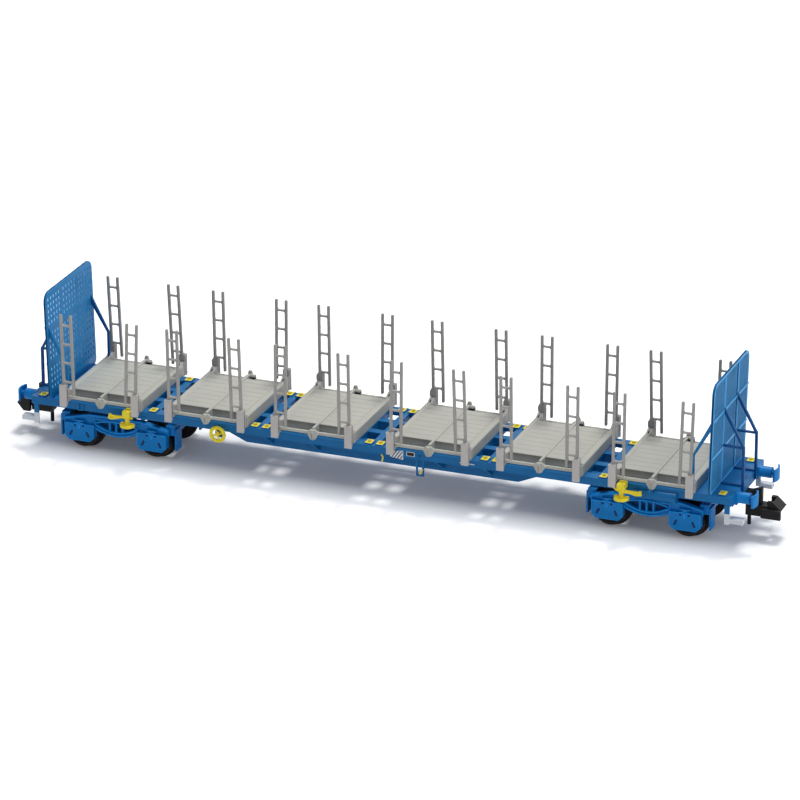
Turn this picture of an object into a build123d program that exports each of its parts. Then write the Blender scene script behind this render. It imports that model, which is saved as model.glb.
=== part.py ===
from build123d import *
import os

# Model of a bogie log carrier wagon, 1:160. X runs along the wagon, Y across it,
# Z up from the floor that the wheel flanges stand on. The origin is midway between the bogies.

# Clearances between pieces that turn, and the overrun of a cut past its wall
running_gap = 0.08
swing_gap = 0.1
wheel_relief = 0.2
press_depth = 0.01
overrun = 0.5

# Wheelsets
wheelbase = 12.5
back_to_back = 7.5
wheel_width = 2.0
flange_width = 0.55
tread_radius = 2.75
flange_height = 0.5
rim_thickness = 0.5
web_depth = 0.35
axle_radius = 0.75
journal_length = 0.75
cone_gap = 0.12
flange_radius = tread_radius + flange_height
axle_height = flange_radius
wheel_inner = back_to_back / 2
wheel_outer = wheel_inner + wheel_width
journal_tip = wheel_outer + journal_length

# Bogies
pivot_distance = 88.8
truss_inner = 6.0
truss_thickness = 0.75
axlebox_face = 7.2
truss_overhang = 2.8
truss_shoulder = 1.75
truss_top = 6.63
truss_end_top = 5.6
truss_end_bottom = 4.65
belly_start = 1.55
belly_chord_z = 4.75
belly_low = 3.3
truss_rim = 0.3
panel_depth = 0.14
window_margin = 0.1
window_top = 5.7
window_side_z = 5.2
window_low = 4.15
window_post = 0.3
post_low = 3.85
window_post_pitch = 1.1
axlebox_half = 2.55
axlebox_low = 2.0
axlebox_top = 4.95
axlebox_chamfer = 0.7
bolt_radius = 0.25
bolt_spacing = 0.7
bolt_z = 4.65
slot_width = 0.4
slot_height = 0.85
slot_spacing = 1.45
slot_z = 3.2
slot_lean = 25
recess_depth = 0.25
end_beam_thickness = 1.4
end_beam_reach = 0.7
end_beam_top = 6.2
guard_inner = 3.7
guard_outer = 5.8
guard_top = 5.6
guard_bottom = 2.0
guard_thickness = 0.3
bolster_half = 1.7
bolster_top = 6.6
bolster_thickness = 1.5
pin_radius = 0.6
pin_head_radius = 1.2
pin_head_height = 0.6
pin_seat = 7.9
lug_half = 0.9
lug_stem_half = 0.35
lug_height = 0.2
lug_top = 5.5
truss_half_length = wheelbase / 2 + truss_overhang
truss_flat_half = wheelbase / 2 - truss_shoulder
belly_chord_half = wheelbase / 2 - belly_start
window_half = wheelbase / 2 - axlebox_half - window_margin

# Underframe
end_overhang = 14.0
deck_top = 8.95
deck_thickness = 0.7
sill_bottom = 7.7
sill_outer = 8.15
sill_flange = 1.9
sill_band = 0.6
centre_sill_outer = 3.0
centre_sill_inner = 1.65
crossbeam_width = 1.2
gap_beam_shift = 0.48
girder_outer = 4.6
girder_web = 0.6
girder_end_bottom = 7.3
belly_bottom = 4.85
belly_clearance = 6.85
belly_slope = 5.7
gusset_width = 0.4
gusset_foot = 0.4
gusset_shares = (-0.807, -0.456, 0.456, 0.807)
headstock_thickness = 0.8
headstock_bottom = 7.3
body_bolster_half = 2.2
boss_radius = 1.7
deck_bottom = deck_top - deck_thickness
frame_half_length = pivot_distance / 2 + end_overhang
belly_half = pivot_distance / 2 - truss_half_length - belly_clearance
belly_flat_half = belly_half - belly_slope

# Air tank, valve cover and cock bracket on the near sill, with their places past a bogie pivot
tank_offset = 0.7
tank_length = 4.6
tank_radius = 0.8
tank_z = 7.62
cover_offset = -1.6
cover_length = 2.2
cover_top = 8.2
cover_bottom = 6.8
cover_thickness = 0.2
cock_x = 7.2
cock_width = 1.3
cock_leg = 0.25
cock_bottom = 4.95
cock_thickness = 0.3

# Cradles
cradle_margin = 12.48
middle_pitch = 19.32
cradle_pitch = (frame_half_length - cradle_margin - middle_pitch / 2) / 2
beam_face = 6.7
beam_width = 0.9
beam_half_width = 8.3
floor_top = 10.65
floor_thickness = 0.9
floor_half_width = 6.8
skirt_thickness = 0.4
rib_top = 10.8
rib_thickness = 0.45
rib_half_width = 9.5
rib_end_top = 10.55
bracket_half = 1.05
bracket_foot_half = 0.4
bracket_head_half = 0.42
bracket_depth = 0.4
bracket_groove = 0.2
rail_top = 10.1
rail_bottom = 9.65
rail_outer = 8.8
rail_width = 0.45

# Winches beside the far end of each rib
winch_radius = 0.4
winch_reach = 1.1
winch_cap_top = 11.25
winch_cap_half = 0.25

# Stake pockets and stakes
stake_offset = 6.17
stake_plane = 9.2
pocket_width = 1.17
pocket_outer = 9.9
pocket_plate = 0.4
pocket_bottom = 8.6
pocket_top = 12.3
pocket_taper = 0.7
pocket_body_width = 0.8
web_inner = 7.3
stake_leg = 0.41
stake_top = 24.0
stake_seat = 11.2
foot_width = 1.1
foot_inner = 8.92
foot_top = 12.35
leg_spacing = 1.67
hanging_end = 10.4
rung_height = 0.27
rung_places = (21.65, 18.47, 15.27, 12.53)

# End walls, leaning outwards a little, with their struts and braces
wall_end_gap = 3.7
wall_lean = 0.025
wall_thickness = 0.3
wall_half_width = 8.75
wall_top = 26.85
wall_corner = 1.6
wall_foot_corner = 0.9
wall_rim = 0.5
wall_rib_pitch = 0.58
wall_rib_depth = 0.1
wall_rib_width = 0.3
strong_rib_y = 3.25
strong_rib_width = 0.36
bar_places = (21.3, 15.4)
bar_height = 0.4
bar_depth = 0.2
strut_width = 0.5
strut_depth = 0.4
strut_bottom = 7.7
strut_knee_z = 15.3
strut_top_z = 21.5
strut_slant = 0.9
link_height = 0.3
brace_y = 7.9
brace_width = 0.4
brace_knee_z = 14.9
brace_top_z = 21.0
brace_drop = 1.5
wall_inner = frame_half_length - wall_end_gap
brace_x = frame_half_length - cradle_margin + stake_offset

# Buffers and steps
buffer_spread = 5.5
buffer_height = 8.1
buffer_length = 3.3
collar_half = 0.95
collar_thickness = 0.3
shank_radius = 0.88
shank_length = 1.9
neck_radius = 0.4
head_half_width = 1.35
head_half_height = 1.0
head_thickness = 0.3
head_bulge = 0.35
hanger_inset = 0.76
hanger_width = 0.8
hanger_thickness = 0.35
shelf_length = 2.15
shelf_width = 1.3
shelf_height = 0.75
shelf_bottom = 4.7
step_bottom = 4.45

# Couplers, measured outwards from the end of the frame
coupler_pivot_inset = 2.9
coupler_bar_half = 1.0
coupler_bottom = 3.4
coupler_bar_top = 5.2
bar_reach = 3.5
arm_start = 2.6
hook_start = 3.44
hook_bar_start = 4.3
hook_reach = 5.7
hook_top_reach = 4.24
nose_low_reach = 4.6
nose_z = 4.75
hook_top = 6.06
hook_near = 1.0
finger_near = 1.6
finger_top = 4.9
hook_arm = 0.5
hook_far = 1.9
hook_stub = 0.7
fin_half = 0.45
fin_length = 2.4
fin_top = 7.9
fin_rear_z = 7.0
catch_radius = 0.3
catch_offset = 0.35
catch_bottom = 1.5
shank_top = 7.1
shank_bottom = 6.3
shank_half = 0.9
stud_radius = 0.42
stud_clip_half = 0.7
stud_clip_height = 0.4
coupler_boss_half = 0.9
coupler_pivot = frame_half_length - coupler_pivot_inset

# Yellow fittings
pad_length = 1.4
pad_width = 1.6
pad_height = 0.2
pip_radius = 0.35
pip_height = 0.15
pad_y = 7.03
pair_spacing = 0.93
single_shift = 0.75
end_pad_inset = 1.7
ring_radius = 1.2
ring_half = 0.16
handwheel_offset = 18.4
handwheel_z = 7.2
handwheel_y = 8.9
handwheel_plate_half = 0.6
spoke_half = 0.09
hub_radius = 0.25
changeover_offset = 3.2
changeover_y = 9.3
block_half = 0.62
block_bottom = 8.35
block_top = 9.3
stem_half = 0.3
cup_radius = 1.2
cup_top = 7.15
cup_bottom = 6.6
lever_end = 3.2
lever_thickness = 0.35
lever_z = 7.9
lever_rise = 0.5
handwheel_x = pivot_distance / 2 - handwheel_offset
changeover_x = pivot_distance / 2 - changeover_offset

os.makedirs("parts", exist_ok=True)
turned = (0, 0, 180)
cradle_half_row = [middle_pitch / 2 + cradle_pitch * step for step in range(3)]
cradle_centres = sorted([-x for x in cradle_half_row] + cradle_half_row)
gap_half_row = [x + cradle_pitch / 2 + gap_beam_shift for x in cradle_half_row[:-1]]
cradle_beams = [centre + end * stake_offset for centre in cradle_centres for end in (-1, 1)]
beam_places = sorted(cradle_beams + [-x for x in gap_half_row] + [0] + gap_half_row)


def keep(part, name):
    # Writes one finished piece under its own name
    part.label = name
    export_step(part, f"parts/{name}.step")


def wall_x(z, depth):
    # Place along the wagon of a leaning plane this deep outwards from the wall's inner face
    return wall_inner + depth * (1 + wall_lean ** 2) ** 0.5 + wall_lean * (z - deck_top)


# Underframe: a ladder deck with centre sills on two fish-belly girders, with headstocks and bosses
bay_width = sill_outer - sill_flange - centre_sill_outer
bay_y = centre_sill_outer + bay_width / 2
with BuildPart() as underframe:
    with BuildSketch(Plane.XY.offset(deck_bottom)):
        Rectangle(2 * frame_half_length, 2 * sill_outer)
        for left, right in zip(beam_places, beam_places[1:]):
            bay_x = (left + right) / 2
            with Locations((bay_x, bay_y), (bay_x, -bay_y)):
                Rectangle(right - left - crossbeam_width, bay_width, mode=Mode.SUBTRACT)
            with Locations((bay_x, 0)):
                Rectangle(right - left - crossbeam_width, 2 * centre_sill_inner, mode=Mode.SUBTRACT)
    extrude(amount=deck_thickness)
    # Bands along both sides, and the crossbeams between them
    with BuildSketch(Plane.XY.offset(sill_bottom)):
        with Locations((0, sill_outer - sill_band / 2), (0, sill_band / 2 - sill_outer)):
            Rectangle(2 * frame_half_length, sill_band)
        with Locations(*[(x, 0) for x in beam_places]):
            Rectangle(crossbeam_width, 2 * sill_outer)
    extrude(amount=deck_bottom - sill_bottom)
    # Centre sills
    with BuildSketch(Plane.XY.offset(girder_end_bottom)):
        centre_sill_y = (centre_sill_outer + centre_sill_inner) / 2
        with Locations((0, centre_sill_y), (0, -centre_sill_y)):
            Rectangle(2 * frame_half_length, centre_sill_outer - centre_sill_inner)
    extrude(amount=deck_bottom - girder_end_bottom)
    for near in (girder_outer - girder_web, -girder_outer):
        with BuildSketch(Plane.XZ.offset(near)):
            with BuildLine():
                Polyline(
                    (-frame_half_length, deck_bottom),
                    (-frame_half_length, girder_end_bottom),
                    (-belly_half, girder_end_bottom),
                    (-belly_flat_half, belly_bottom),
                    (belly_flat_half, belly_bottom),
                    (belly_half, girder_end_bottom),
                    (frame_half_length, girder_end_bottom),
                    (frame_half_length, deck_bottom),
                    close=True,
                )
            make_face()
        extrude(amount=girder_web)
    # Three-cornered gussets from the bands down to the girders
    for share in gusset_shares:
        for side in (-1, 1):
            with BuildSketch(Plane.YZ.offset(share * belly_flat_half - gusset_width / 2)):
                with BuildLine():
                    Polyline(
                        (side * sill_outer, sill_bottom),
                        (side * girder_outer, sill_bottom),
                        (side * girder_outer, belly_bottom + gusset_foot),
                        close=True,
                    )
                make_face()
            extrude(amount=gusset_width)
    # Headstocks, and the bolsters that sit over the bogies
    with BuildSketch(Plane.XY.offset(headstock_bottom)):
        headstock_x = frame_half_length - headstock_thickness / 2
        with Locations((headstock_x, 0), (-headstock_x, 0)):
            Rectangle(headstock_thickness, 2 * (sill_outer - sill_band))
    extrude(amount=deck_bottom - headstock_bottom)
    with BuildSketch(Plane.XY.offset(girder_end_bottom)):
        with Locations((pivot_distance / 2, 0), (-pivot_distance / 2, 0)):
            Rectangle(2 * body_bolster_half, 2 * girder_outer)
    extrude(amount=deck_bottom - girder_end_bottom)
    # Bosses over the bogies, bored for their pins
    with BuildSketch(Plane.XY.offset(bolster_top + swing_gap)):
        with Locations((pivot_distance / 2, 0), (-pivot_distance / 2, 0)):
            Circle(boss_radius)
    extrude(amount=girder_end_bottom - bolster_top - swing_gap)
    with BuildSketch(Plane.XY.offset(bolster_top + swing_gap)):
        with Locations((pivot_distance / 2, 0), (-pivot_distance / 2, 0)):
            Circle(pin_radius - press_depth)
    extrude(amount=pin_seat - bolster_top - swing_gap, mode=Mode.SUBTRACT)
    # Coupler blocks, each with a stud and the square clip that holds the coupler's eye
    with BuildSketch(Plane.XY.offset(shank_top + swing_gap)):
        with Locations((coupler_pivot, 0), (-coupler_pivot, 0)):
            Rectangle(2 * coupler_boss_half, 2 * centre_sill_inner)
    extrude(amount=deck_bottom - shank_top - swing_gap)
    with BuildSketch(Plane.XY.offset(shank_bottom - swing_gap)):
        with Locations((coupler_pivot, 0), (-coupler_pivot, 0)):
            Circle(stud_radius)
    extrude(amount=shank_top - shank_bottom + 2 * swing_gap)
    with BuildSketch(Plane.XY.offset(shank_bottom - swing_gap - stud_clip_height)):
        with Locations((coupler_pivot, 0), (-coupler_pivot, 0)):
            Rectangle(2 * stud_clip_half, 2 * stud_clip_half)
    extrude(amount=stud_clip_height)
    # Plates that carry the handwheel spindles
    with BuildSketch(Plane.XY.offset(handwheel_z - handwheel_plate_half)):
        plate_y = sill_outer - sill_band / 2
        with Locations((-handwheel_x, -plate_y), (handwheel_x, plate_y)):
            Rectangle(2 * handwheel_plate_half, sill_band)
    extrude(amount=sill_bottom - handwheel_z + handwheel_plate_half)
    # Air tank and valve cover beside the right bogie
    with BuildSketch(Plane.YZ.offset(pivot_distance / 2 + tank_offset)):
        with Locations((-sill_outer, tank_z)):
            Circle(tank_radius)
    extrude(amount=tank_length)
    with BuildSketch(Plane.XZ.offset(sill_outer)):
        cover_x = pivot_distance / 2 + cover_offset + cover_length / 2
        with Locations((cover_x, (cover_top + cover_bottom) / 2)):
            Rectangle(cover_length, cover_top - cover_bottom)
    extrude(amount=cover_thickness)
    # Cock bracket: a frame that hangs below the band
    with BuildSketch(Plane.XZ.offset(sill_outer - cock_thickness)):
        with Locations((cock_x + cock_width / 2, (sill_bottom + cock_bottom) / 2)):
            Rectangle(cock_width, sill_bottom - cock_bottom)
        with Locations((cock_x + cock_width / 2, (sill_bottom + cock_bottom + cock_leg) / 2)):
            Rectangle(cock_width - 2 * cock_leg, sill_bottom - cock_bottom - cock_leg, mode=Mode.SUBTRACT)
    extrude(amount=cock_thickness)
keep(underframe.part, "underframe")

# Pins that hold the bogies up to the bosses
bolster_bottom = bolster_top - bolster_thickness
with BuildPart() as pivot_pin:
    with BuildSketch(Plane.XY.offset(bolster_bottom - swing_gap - pin_head_height)):
        Circle(pin_head_radius)
    extrude(amount=pin_head_height)
    with BuildSketch(Plane.XY.offset(bolster_bottom - swing_gap)):
        Circle(pin_radius)
    extrude(amount=pin_seat - bolster_bottom + swing_gap)

# Cradle: floor with its skirts, two end beams, the centre rib and the side rails, moulded as one
beam_x = beam_face - beam_width / 2
with BuildPart() as cradle:
    with BuildSketch(Plane.XY.offset(deck_top)):
        with Locations((beam_x, 0), (-beam_x, 0)):
            Rectangle(beam_width, 2 * beam_half_width)
        skirt_y = floor_half_width - skirt_thickness / 2
        with Locations((0, skirt_y), (0, -skirt_y)):
            Rectangle(2 * (beam_face - beam_width), skirt_thickness)
    extrude(amount=floor_top - deck_top)
    with BuildSketch(Plane.XY.offset(floor_top - floor_thickness)):
        Rectangle(2 * (beam_face - beam_width), 2 * floor_half_width)
    extrude(amount=floor_thickness)
    with BuildSketch(Plane.XY.offset(deck_top)):
        Rectangle(rib_thickness, 2 * rib_half_width)
    extrude(amount=rib_end_top - deck_top)
    with BuildSketch(Plane.XY.offset(rib_end_top)):
        Rectangle(rib_thickness, 2 * rail_outer)
    extrude(amount=rib_top - rib_end_top)
    with BuildSketch(Plane.XY.offset(rail_bottom)):
        rail_y = rail_outer - rail_width / 2
        with Locations((0, rail_y), (0, -rail_y)):
            Rectangle(2 * stake_offset - pocket_body_width, rail_width)
    extrude(amount=rail_top - rail_bottom)
    # Diamond brackets where the rib meets the rails, each with an upright groove in its face
    for near in (rail_outer, -rail_outer - bracket_depth):
        with BuildSketch(Plane.XZ.offset(near)):
            with BuildLine():
                Polyline(
                    (-bracket_head_half, rib_end_top),
                    (bracket_head_half, rib_end_top),
                    (bracket_half, rail_top),
                    (bracket_foot_half, deck_top),
                    (-bracket_foot_half, deck_top),
                    (-bracket_half, rail_top),
                    close=True,
                )
            make_face()
        extrude(amount=bracket_depth)
    with BuildSketch(Plane.XY.offset(deck_top)):
        groove_y = rib_half_width - bracket_groove / 2
        with Locations((0, groove_y), (0, -groove_y)):
            Rectangle(bracket_groove, bracket_groove)
    extrude(amount=rail_top - deck_top, mode=Mode.SUBTRACT)

# Winch: a dark drum on the far rail beside the rib, and a cap on the bracket behind it
with BuildPart() as winch:
    with BuildSketch(Plane.YZ.offset(rib_thickness / 2)):
        with Locations((rail_outer - winch_radius, rail_top + winch_radius)):
            Circle(winch_radius)
    extrude(amount=winch_reach - rib_thickness / 2)
    with BuildSketch(Plane.XZ.offset(-rail_outer - bracket_depth)):
        with BuildLine():
            Polyline(
                (-bracket_head_half, rib_end_top),
                (-winch_cap_half, winch_cap_top),
                (winch_cap_half, winch_cap_top),
                (bracket_head_half, rib_end_top),
                close=True,
            )
        make_face()
    extrude(amount=bracket_depth)
with BuildPart() as winches:
    for centre in cradle_centres:
        add(winch.part.moved(Location((centre, 0, 0))))
keep(winches.part, "winches")

# Three-cornered webs that rise from a beam to the foot of a stake, one on each side
with BuildSketch() as web_profile:
    for side in (-1, 1):
        with BuildLine():
            Polyline(
                (side * web_inner, floor_top),
                (side * beam_half_width, stake_seat),
                (side * beam_half_width, floor_top),
                close=True,
            )
        make_face()

# Stake pockets: four to a cradle, each a wide outer plate on a narrower body with its web
plate_inner = pocket_outer - pocket_plate
with BuildPart() as pockets:
    for side in (-1, 1):
        with BuildSketch(Plane.XY.offset(pocket_bottom)):
            plate_y = side * (pocket_outer - pocket_plate / 2)
            with Locations((-stake_offset, plate_y), (stake_offset, plate_y)):
                Rectangle(pocket_width, pocket_plate)
        extrude(amount=pocket_top - pocket_bottom)
        for end in (-1, 1):
            with BuildSketch(Plane.YZ.offset(end * stake_offset - pocket_body_width / 2)):
                with BuildLine():
                    Polyline(
                        (side * web_inner, floor_top),
                        (side * beam_half_width, stake_seat),
                        (side * plate_inner, stake_seat),
                        (side * plate_inner, pocket_bottom),
                        (side * (beam_half_width + pocket_taper), pocket_bottom),
                        (side * beam_half_width, pocket_bottom + pocket_taper),
                        (side * beam_half_width, floor_top),
                        close=True,
                    )
                make_face()
            extrude(amount=pocket_body_width)

# Stakes: ladder frames on a foot block, whose inner leg hangs free
with BuildPart() as stakes:
    for side in (-1, 1):
        for end in (-1, 1):
            with BuildSketch(Plane.XZ.offset(side * stake_plane - stake_leg / 2)):
                with Locations((end * stake_offset, (stake_top + stake_seat) / 2)):
                    Rectangle(stake_leg, stake_top - stake_seat)
                with Locations((end * (stake_offset - leg_spacing), (stake_top + hanging_end) / 2)):
                    Rectangle(stake_leg, stake_top - hanging_end)
                for place in rung_places:
                    with Locations((end * (stake_offset - leg_spacing / 2), place)):
                        Rectangle(leg_spacing, rung_height)
            extrude(amount=stake_leg)
    with BuildSketch(Plane.XY.offset(stake_seat)):
        with GridLocations(2 * stake_offset, foot_inner + plate_inner, 2, 2):
            Rectangle(foot_width, plate_inner - foot_inner)
    extrude(amount=foot_top - stake_seat)

for number, centre in enumerate(cradle_centres, start=1):
    place = Location((centre, 0, 0))
    keep(cradle.part.moved(place), f"cradle_{number}")
    keep(pockets.part.moved(place), f"pockets_{number}")
    keep(stakes.part.moved(place), f"stakes_{number}")

# End wall: a plate with rounded top corners, fine upright ribs inside its rim, and two bars across them
wall_plane = Plane(origin=(wall_inner, 0, deck_top), x_dir=(0, 1, 0), z_dir=(1, 0, -wall_lean))
wall_slope = (1 + wall_lean ** 2) ** 0.5
wall_rise = (wall_top - deck_top) * wall_slope
rib_count = int(2 * (wall_half_width - wall_rim) / wall_rib_pitch)
rib_length = wall_rise - wall_corner - wall_rim
rib_centre = wall_rim + rib_length / 2
rib_places = [(step - (rib_count - 1) / 2) * wall_rib_pitch for step in range(rib_count)]
with BuildPart() as end_wall:
    with BuildSketch(wall_plane) as wall_face:
        with Locations((0, wall_rise / 2)):
            Rectangle(2 * wall_half_width, wall_rise)
        fillet(wall_face.vertices().group_by(Axis.Y)[-1], radius=wall_corner)
        fillet(wall_face.vertices().group_by(Axis.Y)[0], radius=wall_foot_corner)
    extrude(amount=wall_thickness)
    with BuildSketch(wall_plane.offset(wall_thickness)):
        with Locations(*[(y, rib_centre) for y in rib_places]):
            Rectangle(wall_rib_width, rib_length)
    extrude(amount=wall_rib_depth)
    with BuildSketch(wall_plane.offset(wall_thickness)):
        with Locations(*[(y, rib_centre) for y in (-strong_rib_y, strong_rib_y)]):
            Rectangle(strong_rib_width, rib_length)
    extrude(amount=bar_depth)
    with BuildSketch(wall_plane.offset(wall_thickness + wall_rib_depth)):
        with Locations(*[(0, (z - deck_top) * wall_slope) for z in bar_places]):
            Rectangle(2 * (wall_half_width - wall_rim), bar_height)
    extrude(amount=bar_depth - wall_rib_depth)
    # Foot cut level with the deck
    with BuildSketch(Plane.XY.offset(deck_top)):
        with Locations((wall_inner, 0)):
            Rectangle(2 * wall_thickness, 2 * wall_half_width)
    extrude(amount=-overrun, mode=Mode.SUBTRACT)

# Struts outside the wall: two cranked posts on the headstock, each tied back by two links
strut_inner = frame_half_length
face_depth = wall_thickness + bar_depth
link_rows = [(strut_knee_z - link_height / 2, face_depth), (deck_top, wall_thickness)]
with BuildPart() as struts:
    for y in (-strong_rib_y, strong_rib_y):
        with BuildSketch(Plane.XZ.offset(-y - strut_width / 2)):
            with BuildLine():
                Polyline(
                    (strut_inner, strut_bottom),
                    (strut_inner + strut_depth, strut_bottom),
                    (strut_inner + strut_depth, strut_knee_z),
                    (wall_x(strut_top_z, face_depth), strut_top_z),
                    (wall_x(strut_top_z - strut_slant, face_depth), strut_top_z - strut_slant),
                    (strut_inner, strut_knee_z),
                    close=True,
                )
            make_face()
            for link_bottom, depth in link_rows:
                with BuildLine():
                    Polyline(
                        (strut_inner + strut_depth, link_bottom),
                        (wall_x(link_bottom, depth), link_bottom),
                        (wall_x(link_bottom + link_height, depth), link_bottom + link_height),
                        (strut_inner + strut_depth, link_bottom + link_height),
                        close=True,
                    )
                make_face()
        extrude(amount=strut_width)

# Braces inside the wall, from its edges down to the webs on the last cradle's beam
with BuildPart() as braces:
    for side in (-1, 1):
        with BuildSketch(Plane.XZ.offset(side * brace_y - brace_width / 2)):
            with BuildLine():
                Polyline(
                    (brace_x - brace_width / 2, floor_top),
                    (brace_x + brace_width / 2, floor_top),
                    (brace_x + brace_width / 2, brace_knee_z),
                    (wall_x(brace_top_z - brace_drop, 0), brace_top_z - brace_drop),
                    (wall_x(brace_top_z, 0), brace_top_z),
                    (brace_x - brace_width / 2, brace_knee_z),
                    close=True,
                )
            make_face()
        extrude(amount=brace_width)
    with BuildSketch(Plane.YZ.offset(brace_x - brace_width / 2)):
        add(web_profile.sketch)
    extrude(amount=brace_width, mode=Mode.SUBTRACT)

# Buffer: collar, shank, neck and a curved head, pointing along X from the headstock
with BuildPart() as buffer:
    with BuildSketch(Plane.YZ.offset(collar_thickness)):
        Circle(shank_radius)
    extrude(amount=shank_length)
    with BuildSketch(Plane.YZ.offset(collar_thickness + shank_length)):
        Circle(neck_radius)
    extrude(amount=buffer_length - head_thickness - collar_thickness - shank_length)
    with BuildSketch(Plane.YZ):
        Rectangle(2 * collar_half, 2 * collar_half)
    extrude(amount=collar_thickness)
    with BuildSketch(Plane.XY.offset(-head_half_height)):
        rear = buffer_length - head_thickness - head_bulge
        front = buffer_length - head_bulge
        with BuildLine():
            ThreePointArc((rear, head_half_width), (rear + head_bulge, 0), (rear, -head_half_width))
            Line((rear, -head_half_width), (front, -head_half_width))
            ThreePointArc((front, -head_half_width), (buffer_length, 0), (front, head_half_width))
            Line((front, head_half_width), (rear, head_half_width))
        make_face()
    extrude(amount=2 * head_half_height)

# Steps: a hanger below each corner of the frame, with a shelf beside it
hanger_x = frame_half_length - hanger_inset
with BuildPart() as steps:
    for side in (-1, 1):
        hanger_y = side * (sill_outer - hanger_thickness / 2)
        shelf_y = side * (sill_outer - shelf_width / 2)
        with BuildSketch(Plane.XY.offset(step_bottom)):
            with Locations((hanger_x, hanger_y)):
                Rectangle(hanger_width, hanger_thickness)
        extrude(amount=sill_bottom - step_bottom)
        with BuildSketch(Plane.XY.offset(shelf_bottom)):
            with Locations((hanger_x + (hanger_width + shelf_length) / 2, shelf_y)):
                Rectangle(shelf_length, shelf_width)
        extrude(amount=shelf_height)

# Coupler head: a loop with a sloping face, cut short on its far side
arm_x = frame_half_length + arm_start
hook_x = frame_half_length + hook_start
hook_bar_x = frame_half_length + hook_bar_start
with BuildPart() as hook:
    with BuildSketch(Plane.XZ.offset(-hook_far)):
        with BuildLine():
            Polyline(
                (arm_x, coupler_bottom),
                (frame_half_length + nose_low_reach, coupler_bottom),
                (frame_half_length + hook_reach, nose_z),
                (frame_half_length + hook_top_reach, hook_top),
                (hook_x, hook_top),
                (hook_x, coupler_bar_top),
                (arm_x, coupler_bar_top),
                close=True,
            )
        make_face()
    extrude(amount=hook_near + hook_far)
    with BuildSketch(Plane.XY.offset(coupler_bottom)):
        mouth_near = hook_arm - hook_near
        with Locations(((arm_x + hook_bar_x) / 2, (mouth_near + hook_far - hook_stub) / 2)):
            Rectangle(hook_bar_x - arm_x, hook_far - hook_stub - mouth_near)
        with Locations(((arm_x + hook_x) / 2, (mouth_near + hook_far) / 2)):
            Rectangle(hook_x - arm_x, hook_far - mouth_near)
    extrude(amount=hook_top - coupler_bottom, mode=Mode.SUBTRACT)
    # Low finger along the near side, out to the nose
    with BuildSketch(Plane.XY.offset(coupler_bottom)):
        finger_x = (arm_x + frame_half_length + hook_reach) / 2
        with Locations((finger_x, -(finger_near + hook_near) / 2)):
            Rectangle(hook_reach - arm_start, finger_near - hook_near)
    extrude(amount=finger_top - coupler_bottom)

# Coupler: shank with its eye, fin, bar, the head and the catch pin below
coupler_rear = frame_half_length
with BuildPart() as coupler:
    add(hook.part)
    with BuildSketch(Plane.XY.offset(shank_bottom)):
        with Locations(((coupler_pivot + coupler_rear) / 2 + fin_half, 0)):
            Rectangle(coupler_rear - coupler_pivot + 2 * fin_half, 2 * shank_half)
        with Locations((coupler_pivot, 0)):
            Circle(shank_half)
            Circle(stud_radius + running_gap, mode=Mode.SUBTRACT)
    extrude(amount=shank_top - shank_bottom)
    with BuildSketch(Plane.XZ.offset(-fin_half)):
        with BuildLine():
            Polyline(
                (coupler_rear, coupler_bar_top),
                (coupler_rear, fin_rear_z),
                (coupler_rear + fin_length, fin_top),
                (coupler_rear + fin_length, coupler_bar_top),
                close=True,
            )
        make_face()
    extrude(amount=2 * fin_half)
    with BuildSketch(Plane.XY.offset(coupler_bottom)):
        with Locations((coupler_rear + bar_reach / 2, 0)):
            Rectangle(bar_reach, 2 * coupler_bar_half)
    extrude(amount=coupler_bar_top - coupler_bottom)
    with BuildSketch(Plane.XY.offset(catch_bottom)):
        with Locations((coupler_rear + catch_offset, 0)):
            Circle(catch_radius)
    extrude(amount=coupler_bottom - catch_bottom)

for name, spin in (("right", (0, 0, 0)), ("left", turned)):
    sign = 1 if name == "right" else -1
    keep(end_wall.part.moved(Location((0, 0, 0), spin)), f"end_wall_{name}")
    keep(struts.part.moved(Location((0, 0, 0), spin)), f"struts_{name}")
    keep(braces.part.moved(Location((0, 0, 0), spin)), f"braces_{name}")
    keep(steps.part.moved(Location((0, 0, 0), spin)), f"steps_{name}")
    keep(coupler.part.moved(Location((0, 0, 0), spin)), f"coupler_{name}")
    keep(pivot_pin.part.moved(Location((sign * pivot_distance / 2, 0, 0))), f"pivot_pin_{name}")
    for side, y in (("near", -buffer_spread), ("far", buffer_spread)):
        seat = Location((sign * frame_half_length, y, buffer_height), spin)
        keep(buffer.part.moved(seat), f"buffer_{name}_{side}")

# Truss of a bogie: level top with sloping shoulders, and an arched belly between the axleboxes
with BuildSketch() as truss_side:
    with BuildLine():
        Polyline(
            (-belly_chord_half, belly_chord_z),
            (-truss_half_length, truss_end_bottom),
            (-truss_half_length, truss_end_top),
            (-truss_flat_half, truss_top),
            (truss_flat_half, truss_top),
            (truss_half_length, truss_end_top),
            (truss_half_length, truss_end_bottom),
            (belly_chord_half, belly_chord_z),
        )
        ThreePointArc((belly_chord_half, belly_chord_z), (0, belly_low), (-belly_chord_half, belly_chord_z))
    make_face()

# Window of the truss, and the panel sunk between its raised rims
with BuildSketch() as truss_window:
    with BuildLine():
        Polyline(
            (-window_half, window_side_z),
            (-window_half, window_top),
            (window_half, window_top),
            (window_half, window_side_z),
        )
        ThreePointArc((window_half, window_side_z), (0, window_low), (-window_half, window_side_z))
    make_face()
with BuildSketch() as truss_panel:
    offset(truss_side.sketch, amount=-truss_rim, mode=Mode.ADD)
    offset(truss_window.sketch, amount=truss_rim, kind=Kind.INTERSECTION, mode=Mode.SUBTRACT)

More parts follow.
